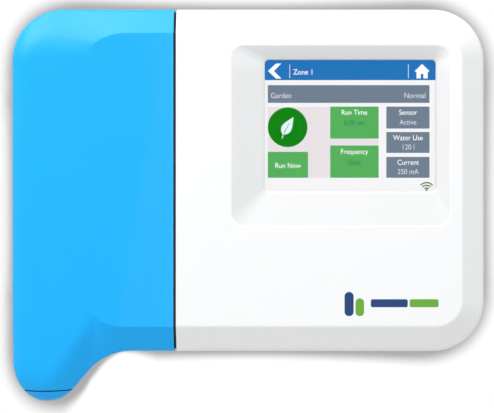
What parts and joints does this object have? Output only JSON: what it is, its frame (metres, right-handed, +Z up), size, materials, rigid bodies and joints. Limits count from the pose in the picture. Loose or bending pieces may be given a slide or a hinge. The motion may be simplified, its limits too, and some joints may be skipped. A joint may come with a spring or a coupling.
{
  "type": "irrigation controller",
  "caption": "Wall-mounted irrigation controller: flat rounded case with a recessed touch screen and a hinged wrap-around wiring door whose leg leads the valve cables down and out.",
  "frame": {"origin": "on the wall plane, at the middle of the case's width and of its height without the leg", "axes": "+X to the right seen from the front, +Y into the wall, +Z up; the screen faces -Y"},
  "size_m": [0.178, 0.033, 0.1482],
  "materials": {
    "white_case": "satin moulded plastic",
    "blue_door": "glossy moulded plastic",
    "zinc_screw": "zinc plated",
    "hinge_steel": "drawn",
    "foam": "closed-cell foam",
    "touch_glass": "polished",
    "lcd": "lit display",
    "backlight_sheet": "diffusing sheet",
    "display_steel": "stamped",
    "black_plastic": "moulded",
    "amber_ribbon": "polyimide film",
    "cream_plastic": "moulded",
    "circuit_board": "solder mask",
    "terminal_green": "moulded",
    "tinned_pin": "tinned",
    "clamp_brass": "nickel-flashed",
    "button_red": "moulded",
    "fuse_glass": "clear tube",
    "nickel": "plated",
    "varistor_blue": "epoxy coated",
    "epoxy_black": "moulded epoxy",
    "capacitor_sleeve": "printed sleeve",
    "ferrite": "ferrite",
    "shield_steel": "tinned can",
    "radio_board": "solder mask",
    "cell_steel": "polished",
    "chip_parts": "fired ceramic"
  },
  "bodies": {
    "case": {"rear_housing": "white_case", "front_housing": "white_case", "cable_exit_collar": "blue_door", "collar_screw": "zinc_screw", "hinge_pins": "hinge_steel", "cable_clamp": "white_case", "clamp_screws": "zinc_screw", "housing_screws": "zinc_screw", "display_gasket": "foam", "touch_panel": "touch_glass", "lcd_glass": "lcd", "lcd_backlight": "backlight_sheet", "lcd_frame": "display_steel", "display_bracket": "black_plastic", "display_screws": "zinc_screw", "lcd_ribbon": "amber_ribbon", "touch_ribbon": "amber_ribbon", "lcd_connector": "cream_plastic", "touch_connector": "cream_plastic", "main_board": "circuit_board", "board_screws": "zinc_screw", "power_header": "terminal_green", "sensor_header": "terminal_green", "zone_header": "terminal_green", "power_header_pins": "tinned_pin", "sensor_header_pins": "tinned_pin", "zone_header_pins": "tinned_pin", "reset_switch": "black_plastic", "fuse_tube": "fuse_glass", "fuse_caps": "nickel", "fuse_clips": "nickel", "varistor": "varistor_blue", "bridge_rectifier": "epoxy_black", "capacitors": "capacitor_sleeve", "power_inductor": "ferrite", "zone_triacs": "epoxy_black", "processor": "epoxy_black", "memory_chip": "epoxy_black", "clock_crystal": "shield_steel", "wifi_board": "radio_board", "wifi_shield": "shield_steel", "cell_holder": "black_plastic", "coin_cell": "cell_steel", "buzzer": "black_plastic", "small_parts": "chip_parts"},
    "door": {"wiring_door": "blue_door"},
    "power_terminal": {"power_plug": "terminal_green", "power_plug_clamps": "clamp_brass", "power_plug_screws": "zinc_screw"},
    "sensor_terminal": {"sensor_plug": "terminal_green", "sensor_plug_clamps": "clamp_brass", "sensor_plug_screws": "zinc_screw"},
    "zone_terminal": {"zone_plug": "terminal_green", "zone_plug_clamps": "clamp_brass", "zone_plug_screws": "zinc_screw"},
    "reset": {"reset_button": "button_red"}
  },
  "joints": [
    {"name": "door_hinge", "type": "hinge", "parent": "case", "child": "door", "pos_m": [-0.087, -0.0054, 0], "axis": [0, 0, -1], "range_deg": [0, 90]},
    {"name": "power_plug_slide", "type": "slide", "parent": "case", "child": "power_terminal", "axis": [-1, 0, 0], "range_m": [0, 0.0105]},
    {"name": "sensor_plug_slide", "type": "slide", "parent": "case", "child": "sensor_terminal", "axis": [-1, 0, 0], "range_m": [0, 0.0105]},
    {"name": "zone_plug_slide", "type": "slide", "parent": "case", "child": "zone_terminal", "axis": [-1, 0, 0], "range_m": [0, 0.0105]},
    {"name": "reset_press", "type": "slide", "parent": "case", "child": "reset", "axis": [0, 1, 0], "range_m": [0, 0.0003], "stiffness_N_per_m": 400, "springref_m": -0.0003}
  ]
}
